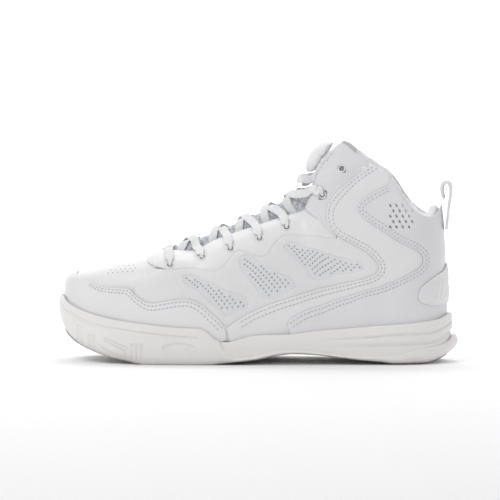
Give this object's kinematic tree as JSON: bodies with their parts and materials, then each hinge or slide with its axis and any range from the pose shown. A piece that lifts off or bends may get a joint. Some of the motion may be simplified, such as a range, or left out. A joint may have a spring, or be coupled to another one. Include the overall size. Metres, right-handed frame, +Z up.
{
  "type": "cheerleading shoe",
  "caption": "White mid-top cheerleading shoe for the left foot with layered upper, flat lace, padded collar, folding tongue top and heel pull tab.",
  "frame": {"origin": "centre of the footprint on the ground, under the middle of the shoe's length and width", "axes": "-X points to the toe, +X to the heel, +Z up, the lateral side faces -Y and the medial side +Y"},
  "size_m": [0.281, 0.1047, 0.1541],
  "materials": {
    "sole_rubber": "matt, moulded",
    "midsole_foam": "matt moulded foam",
    "lining_knit": "brushed knit over foam",
    "insole_cloth": "woven cloth on foam",
    "stiffener_board": "matt board",
    "tongue_mesh": "spacer mesh",
    "lace_cotton": "flat woven",
    "webbing": "ribbed webbing",
    "vent_panel": "fine grain, perforated",
    "upper_leather": "fine grain synthetic leather"
  },
  "bodies": {
    "shoe": {"ankle_flap_lateral": "upper_leather", "ankle_flap_medial": "upper_leather", "collar_padding": "lining_knit", "eyestay_lateral": "upper_leather", "eyestay_medial": "upper_leather", "heel_badge": "upper_leather", "heel_counter": "stiffener_board", "lace": "lace_cotton", "lining_lateral": "lining_knit", "lining_medial": "lining_knit", "midsole": "midsole_foam", "outsole": "sole_rubber", "quarter_lateral": "upper_leather", "quarter_medial": "upper_leather", "rear_quarter_lateral": "upper_leather", "rear_quarter_medial": "upper_leather", "sockliner": "insole_cloth", "stripe_lateral": "upper_leather", "stripe_medial": "upper_leather", "strobel_board": "stiffener_board", "toe_overlay": "upper_leather", "toe_puff": "stiffener_board", "tongue": "tongue_mesh", "tongue_upper": "tongue_mesh", "vamp": "upper_leather", "vamp_lining": "lining_knit", "window_1_lateral": "vent_panel", "window_1_medial": "vent_panel", "window_2_lateral": "vent_panel", "window_2_medial": "vent_panel", "window_3_lateral": "vent_panel", "window_3_medial": "vent_panel"},
    "tongue_top": {"tongue_top": "lining_knit"},
    "pull_tab": {"pull_tab": "webbing"}
  },
  "joints": [
    {"name": "tongue_top_fold", "type": "hinge", "parent": "shoe", "child": "tongue_top", "pos_m": [0.0344, 0, 0.1321], "axis": [0, 1, 0], "range_deg": [-35, 0]},
    {"name": "pull_tab_fold", "type": "hinge", "parent": "shoe", "child": "pull_tab", "pos_m": [0.1322, 0, 0.093], "axis": [0, 1, 0], "range_deg": [0, 40]}
  ]
}
